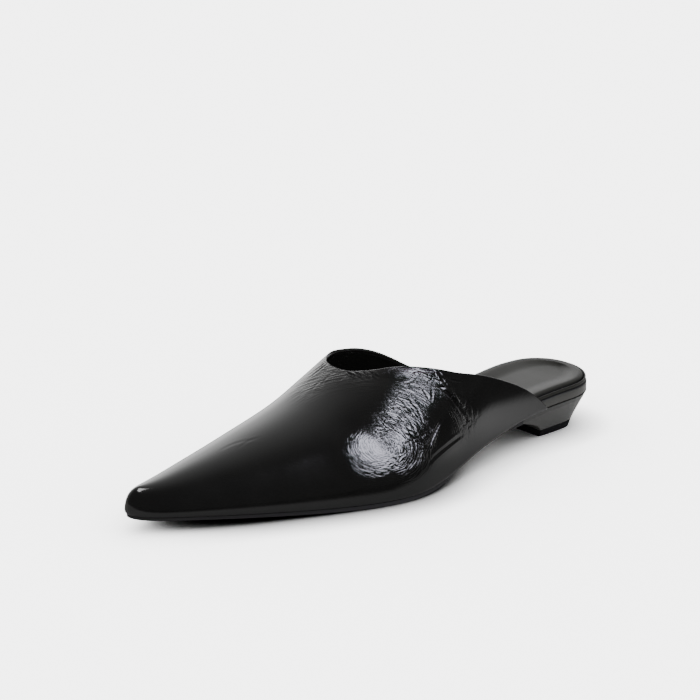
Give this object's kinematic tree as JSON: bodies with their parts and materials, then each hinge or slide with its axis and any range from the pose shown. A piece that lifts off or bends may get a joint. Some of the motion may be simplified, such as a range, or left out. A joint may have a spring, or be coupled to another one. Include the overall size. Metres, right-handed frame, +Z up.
{
  "type": "mule",
  "caption": "Pointed leather mule for a left foot, with a low tapered heel, a one-piece upper open at the back and a padded footbed.",
  "frame": {"origin": "centre of the footprint's box on the floor, the shoe standing on its sole", "axes": "+Z up, -Y towards the toe, +X towards the outer side of the foot"},
  "size_m": [0.0781, 0.2785, 0.0591],
  "materials": {
    "upper": "high gloss, crinkled",
    "outsole": "satin",
    "insole_board": "satin",
    "footbed": "satin",
    "heel_block": "gloss",
    "top_piece": "matte"
  },
  "bodies": {
    "root": {"upper": "upper", "outsole": "outsole", "insole_board": "insole_board", "footbed": "footbed", "heel_block": "heel_block", "top_piece": "top_piece"}
  },
  "joints": []
}
